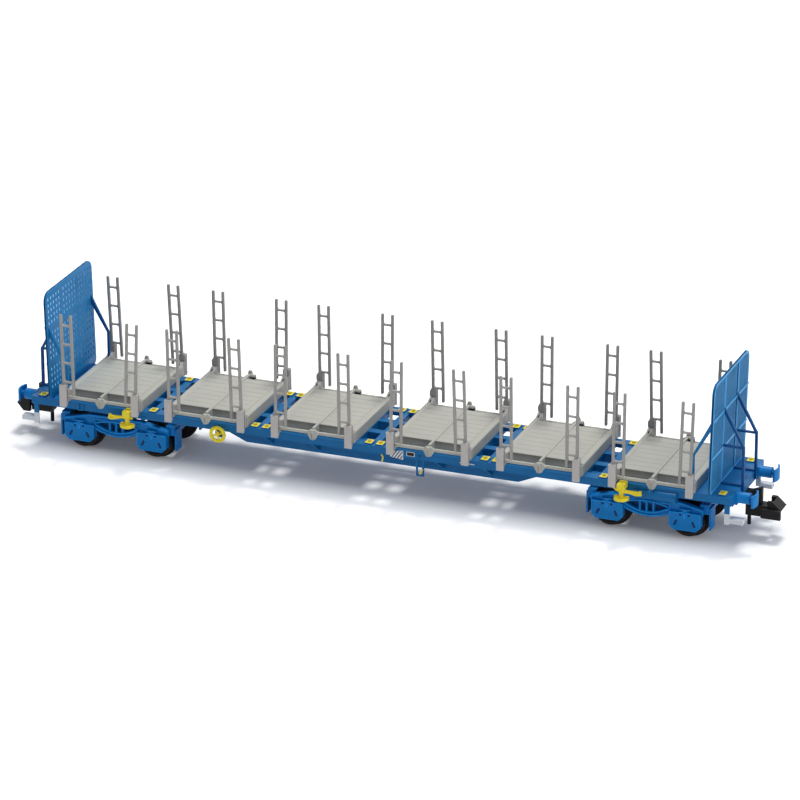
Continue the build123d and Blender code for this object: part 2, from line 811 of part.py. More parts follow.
# Bogie frame: two trusses with axleboxes, joined by the bolster and the end beams
axle_places = (-wheelbase / 2, wheelbase / 2)
with BuildPart() as bogie:
    with BuildSketch(Plane.XZ.offset(truss_inner)):
        add(truss_side.sketch)
        add(truss_window.sketch, mode=Mode.SUBTRACT)
        with Locations(*[(step * window_post_pitch, (window_top + post_low) / 2) for step in (-1, 0, 1)]):
            Rectangle(window_post, window_top - post_low)
    extrude(amount=truss_thickness)
    with BuildSketch(Plane.XZ.offset(truss_inner + truss_thickness)):
        add(truss_panel.sketch)
    extrude(amount=-panel_depth, mode=Mode.SUBTRACT)
    with BuildSketch(Plane.XZ.offset(truss_inner)):
        for axle_x in axle_places:
            with Locations((axle_x, (axlebox_top + axlebox_low) / 2)):
                Rectangle(2 * axlebox_half, axlebox_top - axlebox_low)
    box_depth = axlebox_face - truss_inner
    extrude(amount=box_depth)
    low_edges = bogie.edges().filter_by(Axis.Y).group_by(Axis.Z)[0]
    chamfer(low_edges, length=axlebox_chamfer)
    # Lugs on the axleboxes
    with BuildSketch(Plane.XZ.offset(truss_inner + truss_thickness - panel_depth)):
        for axle_x in axle_places:
            with Locations((axle_x, lug_top - lug_height / 2)):
                Rectangle(2 * lug_half, lug_height)
            with Locations((axle_x, (lug_top + truss_end_bottom) / 2)):
                Rectangle(2 * lug_stem_half, lug_top - truss_end_bottom)
    extrude(amount=box_depth - truss_thickness + panel_depth)
    # Bolt seats and slanted slots in the axlebox faces
    with BuildSketch(Plane.XZ.offset(axlebox_face)):
        for axle_x in axle_places:
            with Locations((axle_x - bolt_spacing, bolt_z), (axle_x + bolt_spacing, bolt_z)):
                RegularPolygon(bolt_radius, 6)
            for side in (-1, 1):
                with Locations((axle_x + side * slot_spacing, slot_z)):
                    Rectangle(slot_width, slot_height, rotation=side * slot_lean)
    extrude(amount=-recess_depth, mode=Mode.SUBTRACT)
    # Conical cups for the journals
    for axle_x in axle_places:
        mouth_y = truss_inner - overrun
        mouth_radius = axle_radius * (journal_tip + cone_gap - mouth_y) / journal_length
        with BuildSketch(Plane((axle_x, 0, axle_height))):
            with BuildLine():
                Polyline((0, -mouth_y), (mouth_radius, -mouth_y), (0, -journal_tip - cone_gap), close=True)
            make_face()
        revolve(axis=Axis((axle_x, 0, axle_height), (0, 1, 0)), mode=Mode.SUBTRACT)
    mirror(about=Plane.XZ)
    # Bolster and end beams between the trusses
    with BuildSketch(Plane.XY.offset(bolster_bottom)):
        Rectangle(2 * bolster_half, 2 * truss_inner)
    extrude(amount=bolster_thickness)
    end_beam_outer = truss_half_length + end_beam_reach
    with BuildSketch(Plane.XY.offset(truss_end_bottom)):
        end_beam_x = end_beam_outer - end_beam_thickness / 2
        with Locations((end_beam_x, 0), (-end_beam_x, 0)):
            Rectangle(end_beam_thickness, 2 * truss_inner)
    extrude(amount=end_beam_top - truss_end_bottom)
    # Guards that hang outside the wheels
    with BuildSketch(Plane.XY.offset(guard_bottom)):
        with GridLocations(2 * end_beam_outer + guard_thickness, guard_inner + guard_outer, 2, 2):
            Rectangle(guard_thickness, guard_outer - guard_inner)
    extrude(amount=guard_top - guard_bottom)
    with BuildSketch(Plane.XY.offset(bolster_bottom)):
        Circle(pin_radius + running_gap)
    extrude(amount=bolster_thickness, mode=Mode.SUBTRACT)
    # Arches cut in the end beams over the wheels
    for near in (wheel_inner - wheel_relief, -wheel_outer - wheel_relief):
        with BuildSketch(Plane.XZ.offset(near)):
            with Locations((-wheelbase / 2, axle_height), (wheelbase / 2, axle_height)):
                Circle(flange_radius + wheel_relief)
        extrude(amount=wheel_width + 2 * wheel_relief, mode=Mode.SUBTRACT)

# Wheels: two to an axle, each turned with a flange, tread, raised rim and sunk web
with BuildPart() as wheels:
    with BuildSketch(Plane.XY):
        with BuildLine():
            Polyline(
                (axle_radius - press_depth, wheel_inner),
                (flange_radius, wheel_inner),
                (flange_radius, wheel_inner + flange_width),
                (tread_radius, wheel_inner + flange_width),
                (tread_radius, wheel_outer),
                (tread_radius - rim_thickness, wheel_outer),
                (tread_radius - rim_thickness, wheel_outer - web_depth),
                (axle_radius - press_depth, wheel_outer - web_depth),
                close=True,
            )
        make_face()
    revolve(axis=Axis.Y)
    mirror(about=Plane.XZ)

# Axle: a plain shaft that runs out to a conical point at each end
with BuildPart() as axle:
    with BuildSketch(Plane.XY):
        with BuildLine():
            Polyline(
                (0, -journal_tip),
                (axle_radius, -wheel_outer),
                (axle_radius, wheel_outer),
                (0, journal_tip),
                close=True,
            )
        make_face()
    revolve(axis=Axis.Y)

keep(bogie.part.moved(Location((-pivot_distance / 2, 0, 0))), "bogie_left")
keep(bogie.part.moved(Location((pivot_distance / 2, 0, 0))), "bogie_right")
pivots = (-pivot_distance / 2, pivot_distance / 2)
for number, x in enumerate([pivot + axle_x for pivot in pivots for axle_x in axle_places], start=1):
    place = Location((x, 0, axle_height))
    keep(wheels.part.moved(place), f"wheels_{number}")
    keep(axle.part.moved(place), f"axle_{number}")

# Spigots: flat pads on the side flanges, each with a six-sided pip, in pairs and single ones
single_x = gap_half_row[1] - gap_beam_shift + single_shift
pad_row = [pair_spacing, gap_half_row[0] - pair_spacing, gap_half_row[0] + pair_spacing, single_x]
pad_row.append(frame_half_length - end_pad_inset)
pad_places = [(end * x, side * pad_y) for x in pad_row for end in (-1, 1) for side in (-1, 1)]
with BuildPart() as spigots:
    with BuildSketch(Plane.XY.offset(deck_top)):
        with Locations(*pad_places):
            Rectangle(pad_length, pad_width)
    extrude(amount=pad_height)
    with BuildSketch(Plane.XY.offset(deck_top + pad_height)):
        with Locations(*pad_places):
            RegularPolygon(pip_radius, 6)
    extrude(amount=pip_height)
keep(spigots.part, "spigots")

# Handwheel: flat ring, four spokes and a hub on its spindle
with BuildPart() as handwheel:
    with BuildSketch(Plane.XZ.offset(-ring_half)):
        Circle(ring_radius + ring_half)
        Circle(ring_radius - ring_half, mode=Mode.SUBTRACT)
        Rectangle(2 * ring_radius, 2 * spoke_half)
        Rectangle(2 * spoke_half, 2 * ring_radius)
    extrude(amount=2 * ring_half)
    with BuildSketch(Plane.XZ.offset(sill_outer - handwheel_y)):
        Circle(hub_radius)
    extrude(amount=handwheel_y - sill_outer + ring_half)
half_turn = Location((0, 0, 0), turned)
wheel_seat = Location((-handwheel_x, -handwheel_y, handwheel_z))
keep(handwheel.part.moved(wheel_seat), "handwheel_near")
keep(handwheel.part.moved(half_turn * wheel_seat), "handwheel_far")

# Brake changeover: block, stem, half-round cup and a bent lever, one by each bogie on both sides
with BuildPart() as changeover:
    with BuildSketch(Plane.XY.offset(block_bottom)):
        with Locations((0, (changeover_y - sill_outer) / 2)):
            Rectangle(2 * block_half, changeover_y - sill_outer)
        Rectangle(2 * block_half, 2 * block_half)
    extrude(amount=block_top - block_bottom)
    with BuildSketch(Plane.XY.offset(cup_bottom)):
        Rectangle(2 * stem_half, 2 * stem_half)
    extrude(amount=block_bottom - cup_bottom)
    with BuildSketch(Plane.XY.offset(cup_bottom)):
        Circle(cup_radius)
        with Locations((0, cup_radius)):
            Rectangle(2 * cup_radius, 2 * stem_half + cup_radius, mode=Mode.SUBTRACT)
    extrude(amount=cup_top - cup_bottom)
    with BuildSketch(Plane.XZ.offset(-lever_thickness / 2)):
        with BuildLine():
            Polyline(
                (0, lever_z),
                (-lever_end, lever_z),
                (-lever_end, lever_z + lever_rise),
                (-lever_end + lever_thickness, lever_z + lever_rise),
                (-lever_end + lever_rise, lever_z + lever_thickness),
                (0, lever_z + lever_thickness),
                close=True,
            )
        make_face()
    extrude(amount=lever_thickness)
mirrored = changeover.part.mirror(Plane.YZ)
left_seat = Location((-changeover_x, -changeover_y, 0))
right_seat = Location((changeover_x, -changeover_y, 0))
keep(changeover.part.moved(left_seat), "changeover_left_near")
keep(mirrored.moved(right_seat), "changeover_right_near")
keep(changeover.part.moved(half_turn * left_seat), "changeover_right_far")
keep(mirrored.moved(half_turn * right_seat), "changeover_left_far")
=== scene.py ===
import math

import bmesh
import bpy
import numpy as np
from mathutils import Matrix, Vector


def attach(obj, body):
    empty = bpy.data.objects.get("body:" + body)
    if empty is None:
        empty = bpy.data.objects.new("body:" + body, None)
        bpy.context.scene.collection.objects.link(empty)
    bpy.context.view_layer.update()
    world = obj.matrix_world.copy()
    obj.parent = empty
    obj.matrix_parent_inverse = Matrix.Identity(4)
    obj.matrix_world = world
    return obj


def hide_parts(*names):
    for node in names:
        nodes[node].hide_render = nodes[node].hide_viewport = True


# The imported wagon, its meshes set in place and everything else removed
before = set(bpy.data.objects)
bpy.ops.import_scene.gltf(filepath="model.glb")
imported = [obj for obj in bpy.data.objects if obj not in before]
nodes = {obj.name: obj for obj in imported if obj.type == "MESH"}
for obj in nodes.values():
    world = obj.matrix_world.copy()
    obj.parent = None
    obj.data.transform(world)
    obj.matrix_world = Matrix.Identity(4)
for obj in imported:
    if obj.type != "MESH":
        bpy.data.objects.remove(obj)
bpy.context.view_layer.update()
MM = 0.001


def near(prefix):
    """The names of the nodes that begin with these letters, in order."""
    return sorted(name for name in nodes if name.startswith(prefix))


def linear(red, green, blue):
    """A colour as it looks on a screen, 0 to 255, as the scene-linear colour that renders so."""
    share = np.array((red, green, blue)) / 255
    low = share / 12.92
    high = ((share + 0.055) / 1.055) ** 2.4
    return (*np.where(share <= 0.04045, low, high), 1.0)


class Wire:
    """A node's output that plain arithmetic can be written on: each operator adds a Math node."""

    def __init__(self, owner, socket):
        self.owner = owner
        self.socket = socket

    def _math(self, operation, first, second=0.0):
        return self.owner.node("ShaderNodeMath", {"operation": operation}, {0: first, 1: second})

    def __add__(self, other):
        return self._math("ADD", self, other)

    __radd__ = __add__

    def __mul__(self, other):
        return self._math("MULTIPLY", self, other)

    __rmul__ = __mul__

    def __sub__(self, other):
        return self._math("SUBTRACT", self, other)

    def __rsub__(self, other):
        return self._math("SUBTRACT", other, self)

    def __gt__(self, other):
        return self._math("GREATER_THAN", self, other)

    def __lt__(self, other):
        return self._math("LESS_THAN", self, other)

    def least(self, other):
        """The smaller of the two values."""
        return self._math("MINIMUM", self, other)

    def most(self, other):
        """The larger of the two values."""
        return self._math("MAXIMUM", self, other)

    def wave(self, pitch):
        """A saw that climbs from 0 to 1 over each pitch."""
        return self._math("FRACT", self * (1 / pitch))

    def size(self):
        """The value without its sign."""
        return self._math("ABSOLUTE", self)

    def root(self):
        """The value's square root."""
        return self._math("SQRT", self)

    def within(self, half, middle):
        """1 where the value lies less than half from the middle, else 0."""
        return (self - middle).size() < half

    def off_rows(self, rows):
        """How far the value, without its sign, lies from the nearest of these rows."""
        reach = self.size()
        nearest = (reach - rows[0]).size()
        for row in rows[1:]:
            nearest = nearest.least((reach - row).size())
        return nearest


class Nodes:
    """A node tree. node() adds any node, its settings first and then its inputs."""

    def __init__(self, tree):
        self.tree = tree
        tree.nodes.clear()

    def node(self, kind, settings=None, inputs=None, output=0):
        made = self.tree.nodes.new(kind)
        for key, value in (settings or {}).items():
            setattr(made, key, value)
        for key, value in (inputs or {}).items():
            if isinstance(value, Wire):
                self.tree.links.new(value.socket, made.inputs[key])
            else:
                made.inputs[key].default_value = value
        return Wire(self, made.outputs[output]) if made.outputs else None

    def rays(self, *kinds):
        """1 on rays of one of these kinds, else 0."""
        paths = self.node("ShaderNodeLightPath").socket.node
        found = [Wire(self, paths.outputs[f"Is {kind} Ray"]) for kind in kinds]
        seen = found[0]
        for other in found[1:]:
            seen = seen.most(other)
        return seen


# Moulded plastic: how large its clouds of tone, gloss and grain are, the grain's depth, and its shine
DRIFT_SIZE = 6.0
GLOSS_SIZE = 2.0
GRAIN_SIZE = 0.12
GRAIN_DEPTH = 0.006
SHINE = 0.25


class Finish(Nodes):
    """One material, with its patterns in the wagon's own places."""

    def __init__(self, name):
        self.material = bpy.data.materials.new(name)
        self.material.use_nodes = True
        super().__init__(self.material.node_tree)

    def place(self):
        """The point on the surface in the wagon's own metres."""
        return self.node("ShaderNodeTexCoord", output="Object")

    def axes(self):
        """That point's x, y and z in millimetres, each by itself."""
        parts = self.node("ShaderNodeSeparateXYZ", inputs={0: self.place()})
        return [Wire(self, output) * (1 / MM) for output in parts.socket.node.outputs]

    def noise(self, size, detail=2.0):
        """Cloudy noise from 0 to 1 whose blobs are about this many millimetres across."""
        inputs = {"Vector": self.place(), "Scale": 1 / (size * MM), "Detail": detail}
        return self.node("ShaderNodeTexNoise", inputs=inputs)

    def spread(self, value, low, high, to_low=0.0, to_high=1.0):
        """A value stretched from one range to another and held there."""
        inputs = {"Value": value, "From Min": low, "From Max": high, "To Min": to_low, "To Max": to_high}
        return self.node("ShaderNodeMapRange", {"clamp": True}, inputs)

    def mix(self, factor, first, second):
        """The first colour at a factor of 0, and the second at 1."""
        return self.node("ShaderNodeMix", {"data_type": "RGBA"}, {0: factor, 6: first, 7: second}, output=2)

    def moulded(self, colour, shade=0.9, roughness=0.42, glow=None):
        """Moulded plastic over this colour: a drifting tone, a fine grain and uneven gloss."""
        drift = self.spread(self.noise(DRIFT_SIZE, 3.0), 0.35, 0.65, shade, 1.0)
        tone = self.node("ShaderNodeVectorMath", {"operation": "SCALE"}, {0: colour, "Scale": drift})
        gloss = self.spread(self.noise(GLOSS_SIZE), 0.3, 0.7, roughness - 0.05, roughness + 0.07)
        grain = {"Height": self.noise(GRAIN_SIZE, 1.0), "Distance": GRAIN_DEPTH * MM, "Strength": 1.0}
        bump = self.node("ShaderNodeBump", inputs=grain)
        inputs = {"Base Color": tone, "Roughness": gloss, "Normal": bump, "Specular IOR Level": SHINE}
        if glow:
            inputs |= {"Emission Color": glow, "Emission Strength": 1.0}
        shader = self.node("ShaderNodeBsdfPrincipled", inputs=inputs)
        self.node("ShaderNodeOutputMaterial", inputs={"Surface": shader})
        return self.material


FRAME_BLUE = linear(12, 112, 174)
BOGIE_BLUE = linear(0, 132, 208)
# Painted shade for the floors of the axleboxes' slots and bolt seats
SLOT_SHADE_BLUE = linear(6, 40, 90)
WALL_BLUE = linear(20, 130, 194)
# A darker blue that paints shade on the struts and the far braces
STRUT_SHADE_BLUE = linear(10, 84, 146)
# Painted shade in the grooves between the end walls' ribs
GROOVE_SHADE_BLUE = linear(0, 70, 132)
# Painted shade: the dark sheets behind the bogies' windows and on the floors of their seats and slots
WINDOW_SHADE_BLUE = linear(0, 66, 120)
# Painted light that glows in the sides of the left wall's holes
PAINTED_HOLE_LIGHT = linear(150, 205, 236)
# Painted highlight on the crests of the end walls' ribs
CREST_HIGHLIGHT_BLUE = linear(84, 180, 240)
# Painted highlight on the bogies' rims
RIM_HIGHLIGHT_BLUE = linear(20, 154, 236)
CRADLE_GREY = linear(192, 191, 181)
# Painted shade on the cradle floors' edges and in the pockets' grooves
EDGE_SHADE_GREY = linear(104, 100, 94)
POCKET_GREY = linear(204, 198, 192)
STAKE_GREY = linear(176, 173, 167)
# A darker grey that paints shade on the far stakes
FAR_SHADE_GREY = linear(166, 164, 158)
# Dark grey that paints the shade under the winches
DRUM_SHADE_GREY = linear(40, 40, 40)
YELLOW = linear(255, 232, 54)
OLIVE = linear(196, 184, 60)
WHITE = linear(226, 230, 234)
BLACK = linear(26, 25, 25)
WHEEL_BROWN = linear(44, 38, 36)
UNLIT = (0.0, 0.0, 0.0, 1.0)
FULL_WHITE = (1.0, 1.0, 1.0, 1.0)

# Places in millimetres that both the finishes and the forms below follow
CRADLE_CENTRES = (-45.92, -27.79, -9.66, 9.66, 27.79, 45.92)
STAKE_OFFSET = 6.17
STAKE_ROWS = [centre + end * STAKE_OFFSET for centre in CRADLE_CENTRES[3:] for end in (-1, 1)]
WALL_INNER = 54.7
WALL_FOOT = 8.95
WALL_LEAN = 0.025
WALL_SHEET = 0.3
WALL_RIB = 0.1


def plain(name, colour, **look):
    """One colour of moulded plastic."""
    return Finish(name).moulded(colour[:3], **look)


def split(name, colour, other, where, **look):
    """Moulded plastic in two colours: the second one where the test on x, y and z says so."""
    finish = Finish(name)
    return finish.moulded(finish.mix(where(*finish.axes()), colour, other), **look)


# End walls: how far the paint on a face reaches past it, and which holes have painted light glowing in their
# sides
FACE_SKIN = 0.03
HOLE_SKIN = 0.045
LIT_HALF = 8.1
LIT_TOP = 26


def wall_finish():
    """Wall paint, with painted shade between the ribs, a painted highlight on them, and painted light
    glowing in the left wall's holes.
    Depth is measured outwards from the wall's leaning inner face."""
    finish = Finish("wall paint")
    x, y, z = finish.axes()
    depth = x.size() - WALL_INNER - (z - WALL_FOOT) * WALL_LEAN
    crest_depth = WALL_SHEET + WALL_RIB - FACE_SKIN
    groove = (depth > WALL_SHEET - FACE_SKIN) * (depth < crest_depth)
    in_sheet = (depth > HOLE_SKIN) * (depth < WALL_SHEET - HOLE_SKIN)
    # Painted light: these holes' sides glow, more strongly higher up and nearer the front
    in_hole = in_sheet * (x < 0) * (y.size() < LIT_HALF) * (z < LIT_TOP)
    upwards = finish.spread(z * 0.5 - y, 1.0, 22.0)
    # Painted shade in the grooves between the ribs, and a painted highlight on their crests
    paint = finish.mix(depth > crest_depth, finish.mix(groove, WALL_BLUE, GROOVE_SHADE_BLUE), CREST_HIGHLIGHT_BLUE)
    return finish.moulded(paint, glow=finish.mix(in_hole * upwards, UNLIT, PAINTED_HOLE_LIGHT))


# Cradle floors: where their long edges stand, and the height up to which painted shade darkens them
FLOOR_EDGE_Y = 6.8
FLOOR_EDGE_HALF = 0.06
FLOOR_EDGE_TOP = 10.62


def cradle_finish():
    """Cradle plastic, with painted shade down the floor's front and back edges."""
    finish = Finish("cradle plastic")
    _, y, z = finish.axes()
    edge = y.size().within(FLOOR_EDGE_HALF, FLOOR_EDGE_Y) * (z < FLOOR_EDGE_TOP)
    # How strongly the painted shade darkens the edge, by height
    depth = finish.spread(z, 9.8, 10.5, 0.35, 0.75)
    return finish.moulded(finish.mix(edge * depth, CRADLE_GREY, EDGE_SHADE_GREY), shade=0.95, roughness=0.55)


# Pockets: the groove behind each front plate and the slot in each far web, both painted as shade
GROOVE_Y = 8.93
GROOVE_HALF = 0.1
GROOVE_FOOT = 8.95
GROOVE_TOP = 11.25
SLOT_Y = 7.78
SLOT_HALF = 0.26
SLOT_HALF_WIDTH = 0.11


def pocket_finish():
    """Pocket plastic with painted shade in the groove behind each front plate, and the slot in each far web
    painted black as shade.
    """
    finish = Finish("pocket plastic")
    x, y, z = finish.axes()
    groove = y.size().within(GROOVE_HALF, GROOVE_Y) * (z > GROOVE_FOOT) * (z < GROOVE_TOP)
    slot = (x.off_rows(STAKE_ROWS) < SLOT_HALF_WIDTH) * y.within(SLOT_HALF, SLOT_Y)
    # Painted shade in the groove, and black in the slot as painted shade
    dark = finish.mix(groove, POCKET_GREY, EDGE_SHADE_GREY)
    return finish.moulded(finish.mix(slot, dark, BLACK), shade=0.95, roughness=0.55)


# Deck pads: their rows, the yellow patch on each, and the foot of the pip that stands on it
PAD_ROWS = (0.93, 18.27, 20.13, 37.605, 56.7)
PAD_Y = 7.03
PATCH_HALVES = (0.56, 0.78)
PIP_FOOT = 9.18


def pad_finish():
    """Frame paint with a yellow patch on each pad's middle, and an olive pip on it."""
    finish = Finish("pad paint")
    x, y, z = finish.axes()
    patch = (x.off_rows(PAD_ROWS) < PATCH_HALVES[0]) * y.size().within(PATCH_HALVES[1], PAD_Y)
    return finish.moulded(finish.mix(z > PIP_FOOT, finish.mix(patch, FRAME_BLUE, YELLOW), OLIVE), shade=0.95)


# Axleboxes: where the floors of the slots and bolt seats in their faces stand, and their top. Painted shade
# darkens these floors
SLOT_FLOOR_Y = 6.95
SLOT_FLOOR_HALF = 0.04
SLOT_FLOOR_TOP = 4.9


def in_box_slot(x, y, z):
    """The floors of the slots and bolt seats in the axleboxes' faces, which take painted shade."""
    return y.size().within(SLOT_FLOOR_HALF, SLOT_FLOOR_Y) * (z < SLOT_FLOOR_TOP)


frame_paint = plain("frame paint", FRAME_BLUE)
# Bogie paint, with painted shade on the floors of the axleboxes' slots and bolt seats
bogie_paint = split("bogie paint", BOGIE_BLUE, SLOT_SHADE_BLUE, in_box_slot)
# The struts take the darker blue as painted shade
strut_shade_paint = plain("strut paint", STRUT_SHADE_BLUE)
# The far braces take the darker blue as painted shade, and the near ones the wall's blue
brace_paint_and_shade = split("brace paint", STRUT_SHADE_BLUE, WALL_BLUE, lambda x, y, z: y < 0)
# Dark sheets that paint the shade in the bogies' windows and recesses
window_shade_paint = plain("window paint", WINDOW_SHADE_BLUE)
# The bogies' rims are painted lighter as highlight
rim_highlight_paint = plain("rim paint", RIM_HIGHLIGHT_BLUE)
wall_paint = wall_finish()
cradle_plastic = cradle_finish()
pocket_plastic = pocket_finish()
# Stakes, darker on the far side as painted shade
stake_plastic = split(
    "stake plastic", STAKE_GREY, FAR_SHADE_GREY, lambda x, y, z: y > 0, shade=0.93, roughness=0.5
)
# Winches, dark below their middle as painted shade and cradle grey above
winch_plastic = split("winch plastic", DRUM_SHADE_GREY, CRADLE_GREY, lambda x, y, z: z > 10.52)
yellow_plastic = plain("yellow plastic", YELLOW, shade=0.95, roughness=0.4)
white_plastic = plain("white plastic", WHITE, shade=0.96, roughness=0.45)
black_plastic = plain("black plastic", BLACK, roughness=0.5)
step_plastic = split("step plastic", WHITE, FRAME_BLUE, lambda x, y, z: z > 6.2, roughness=0.45)
wheel_metal = plain("wheel metal", WHEEL_BROWN, roughness=0.35)
pad_paint = pad_finish()

# The first letters of the nodes' names, their finish, and how many millimetres of edge are rounded
FINISHES = (
    ("underframe", frame_paint, 0.05),
    ("cradle", cradle_plastic, 0.05),
    ("pockets", pocket_plastic, 0.06),
    ("stakes", stake_plastic, 0),
    ("end_wall", wall_paint, 0),
    ("struts", strut_shade_paint, 0.04),
    ("braces", brace_paint_and_shade, 0.04),
    ("steps", step_plastic, 0.04),
    ("coupler", black_plastic, 0.06),
    ("buffer", bogie_paint, 0.04),
    ("bogie", bogie_paint, 0.05),
    ("wheels", wheel_metal, 0.05),
    ("axle", wheel_metal, 0.02),
    ("pivot_pin", wheel_metal, 0.05),
    ("spigots", pad_paint, 0.03),
    ("handwheel", yellow_plastic, 0),
    ("changeover", yellow_plastic, 0.06),
    ("winches", winch_plastic, 0.04),
)
WELD_REACH = 0.0005
FLAT_ANGLE = 0.5
EDGE_ANGLE = 35


def soften(part, width):
    """Rounds a moulded part's sharp edges by this many millimetres, on the mesh as it came."""
    weld = part.modifiers.new("weld", "WELD")
    weld.merge_threshold = WELD_REACH * MM
    flat = part.modifiers.new("flat faces", "DECIMATE")
    flat.decimate_type = "DISSOLVE"
    flat.angle_limit = math.radians(FLAT_ANGLE)
    bevel = part.modifiers.new("soft edges", "BEVEL")
    bevel.width = width * MM
    bevel.segments = 2
    bevel.limit_method = "ANGLE"
    bevel.angle_limit = math.radians(EDGE_ANGLE)
    bevel.use_clamp_overlap = True


for prefix, finish, width in FINISHES:
    for name in near(prefix):
        part = nodes[name]
        part.data.materials.clear()
        part.data.materials.append(finish)
        if width:
            soften(part, width)


# Forms are (points, faces) in millimetres. A form's own axes u, v and w lie or stand so
LYING = ((1, 0, 0), (0, 1, 0), (0, 0, 1))
STANDING = ((1, 0, 0), (0, 0, 1), (0, -1, 0))
ACROSS = (0, 1, 0)


def rounded(corners, steps=4):
    """A closed outline through (x, y, r) corners. Each corner P with unit edges a and b that meet at
    an angle 2h is turned about P + (a + b) / |a + b| * r / sin(h), through the angle pi - 2h."""
    corners = np.array(corners, float)
    outline = []
    for corner, before, after in zip(corners, np.roll(corners, 1, 0), np.roll(corners, -1, 0)):
        spot, radius = corner[:2], corner[2]
        if radius == 0:
            outline.append(spot)
            continue
        back, on = before[:2] - spot, after[:2] - spot
        back, on = back / np.linalg.norm(back), on / np.linalg.norm(on)
        half = math.acos(back @ on) / 2
        centre = spot + (back + on) / np.linalg.norm(back + on) * radius / math.sin(half)
        first = spot + back * radius / math.tan(half) - centre
        last = spot + on * radius / math.tan(half) - centre
        share = np.linspace(0, 1, steps + 1)[:, None] * (math.pi - 2 * half)
        sweep = np.sin(math.pi - 2 * half - share) * first + np.sin(share) * last
        outline.extend(centre + sweep / math.sin(math.pi - 2 * half))
    return np.array(outline)


def block(width, height, radius=0.0, middle=(0, 0)):
    """The corners of an upright rectangle for rounded(), anticlockwise about its middle."""
    x, y = middle
    return [
        (x - width / 2, y - height / 2, radius),
        (x + width / 2, y - height / 2, radius),
        (x + width / 2, y + height / 2, radius),
        (x - width / 2, y + height / 2, radius),
    ]


def sheet(edge, holes, depth, soft):
    """A sheet cut to an anticlockwise edge with clockwise holes: a flat filled curve in u and v,
    as deep as this along w to both sides of 0, with its edges rounded by soft."""
    curve = bpy.data.curves.new("cut", "CURVE")
    curve.dimensions = "2D"
    curve.fill_mode = "BOTH"
    curve.extrude = depth / 2 - soft
    curve.bevel_depth = soft
    curve.bevel_resolution = 1
    curve.offset = -soft
    for loop in (edge, *holes):
        spline = curve.splines.new("POLY")
        spline.points.add(len(loop) - 1)
        spline.points.foreach_set("co", np.c_[loop, np.zeros(len(loop)), np.ones(len(loop))].ravel())
        spline.use_cyclic_u = True
    holder = bpy.data.objects.new("cut", curve)
    mesh = bpy.data.meshes.new_from_object(holder)
    points = np.empty(len(mesh.vertices) * 3)
    mesh.vertices.foreach_get("co", points)
    faces = [tuple(face.vertices) for face in mesh.polygons]
    bpy.data.meshes.remove(mesh)
    bpy.data.objects.remove(holder)
    bpy.data.curves.remove(curve)
    return points.reshape(-1, 3), faces


def laid(form, origin, u, v, w):
    """A form placed at origin + u * a + v * b + w * c for its points (a, b, c)."""
    points, faces = form
    return points @ np.array((u, v, w), float) + np.array(origin, float), faces


def brick(one, other):
    """A box between two opposite corners."""
    low, high = np.minimum(one, other), np.maximum(one, other)
    pick = np.array([(x, y, z) for z in (0, 1) for y in (0, 1) for x in (0, 1)])
    faces = [(0, 2, 3, 1), (4, 5, 7, 6), (0, 1, 5, 4), (2, 6, 7, 3), (0, 4, 6, 2), (1, 3, 7, 5)]
    return low + pick * (high - low), faces


def tube(path, radius, side, closed=False, around=12):
    """A round bar: each point p of a flat path carries p + r (cos(t) side + sin(t) (side x tangent)),
    where side stands square to the path's plane. An open bar has flat ends."""
    path = np.array(path, float)
    side = np.array(side, float)
    if closed:
        tangent = np.roll(path, -1, 0) - np.roll(path, 1, 0)
    else:
        tangent = np.gradient(path, axis=0)
    other = np.cross(side, tangent)
    other /= np.linalg.norm(other, axis=1)[:, None]
    turn = np.linspace(0, 2 * math.pi, around, endpoint=False)
    ring = np.cos(turn)[None, :, None] * side + np.sin(turn)[None, :, None] * other[:, None, :]
    points = (path[:, None, :] + radius * ring).reshape(-1, 3)
    rows = len(path)
    row = np.arange(rows if closed else rows - 1)[:, None]
    here, there = row * around, (row + 1) % rows * around
    step = np.arange(around)[None, :]
    after = (step + 1) % around
    faces = np.stack([here + step, here + after, there + after, there + step], -1).reshape(-1, 4).tolist()
    if not closed:
        faces.append(list(range(around))[::-1])
        faces.append([(rows - 1) * around + k for k in range(around)])
    return points, faces


def eased(path, rounds=2):
    """A path with its corners cut: each round puts points at 1/4 and 3/4 of every stretch."""
    path = np.array(path, float)
    for _ in range(rounds):
        inner = np.stack([0.75 * path[:-1] + 0.25 * path[1:], 0.25 * path[:-1] + 0.75 * path[1:]], 1)
        path = np.concatenate([path[:1], inner.reshape(-1, 3), path[-1:]])
    return path


def piece(name, forms, finish, stands_for=(), body="root", smooth=35):
    """One piece made of forms, welded, at the origin, riding on a body in place of CAD nodes."""
    starts = np.cumsum([0] + [len(points) for points, faces in forms])
    points = np.concatenate([points for points, faces in forms]) * MM
    faces = [tuple(int(start) + k for k in face) for start, form in zip(starts, forms) for face in form[1]]
    mesh = bpy.data.meshes.new(name)
    mesh.from_pydata(points, [], faces)
    mesh.materials.append(finish)
    shape = bmesh.new()
    shape.from_mesh(mesh)
    bmesh.ops.remove_doubles(shape, verts=shape.verts, dist=0.0002 * MM)
    bmesh.ops.recalc_face_normals(shape, faces=shape.faces)
    shape.to_mesh(mesh)
    shape.free()
    mesh.polygons.foreach_set("use_smooth", np.ones(len(mesh.polygons), bool))
    mesh.set_sharp_from_angle(angle=math.radians(smooth))
    made = bpy.data.objects.new(name, mesh)
    bpy.context.scene.collection.objects.link(made)
    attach(made, body)
    if stands_for:
        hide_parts(*stands_for)
    return made


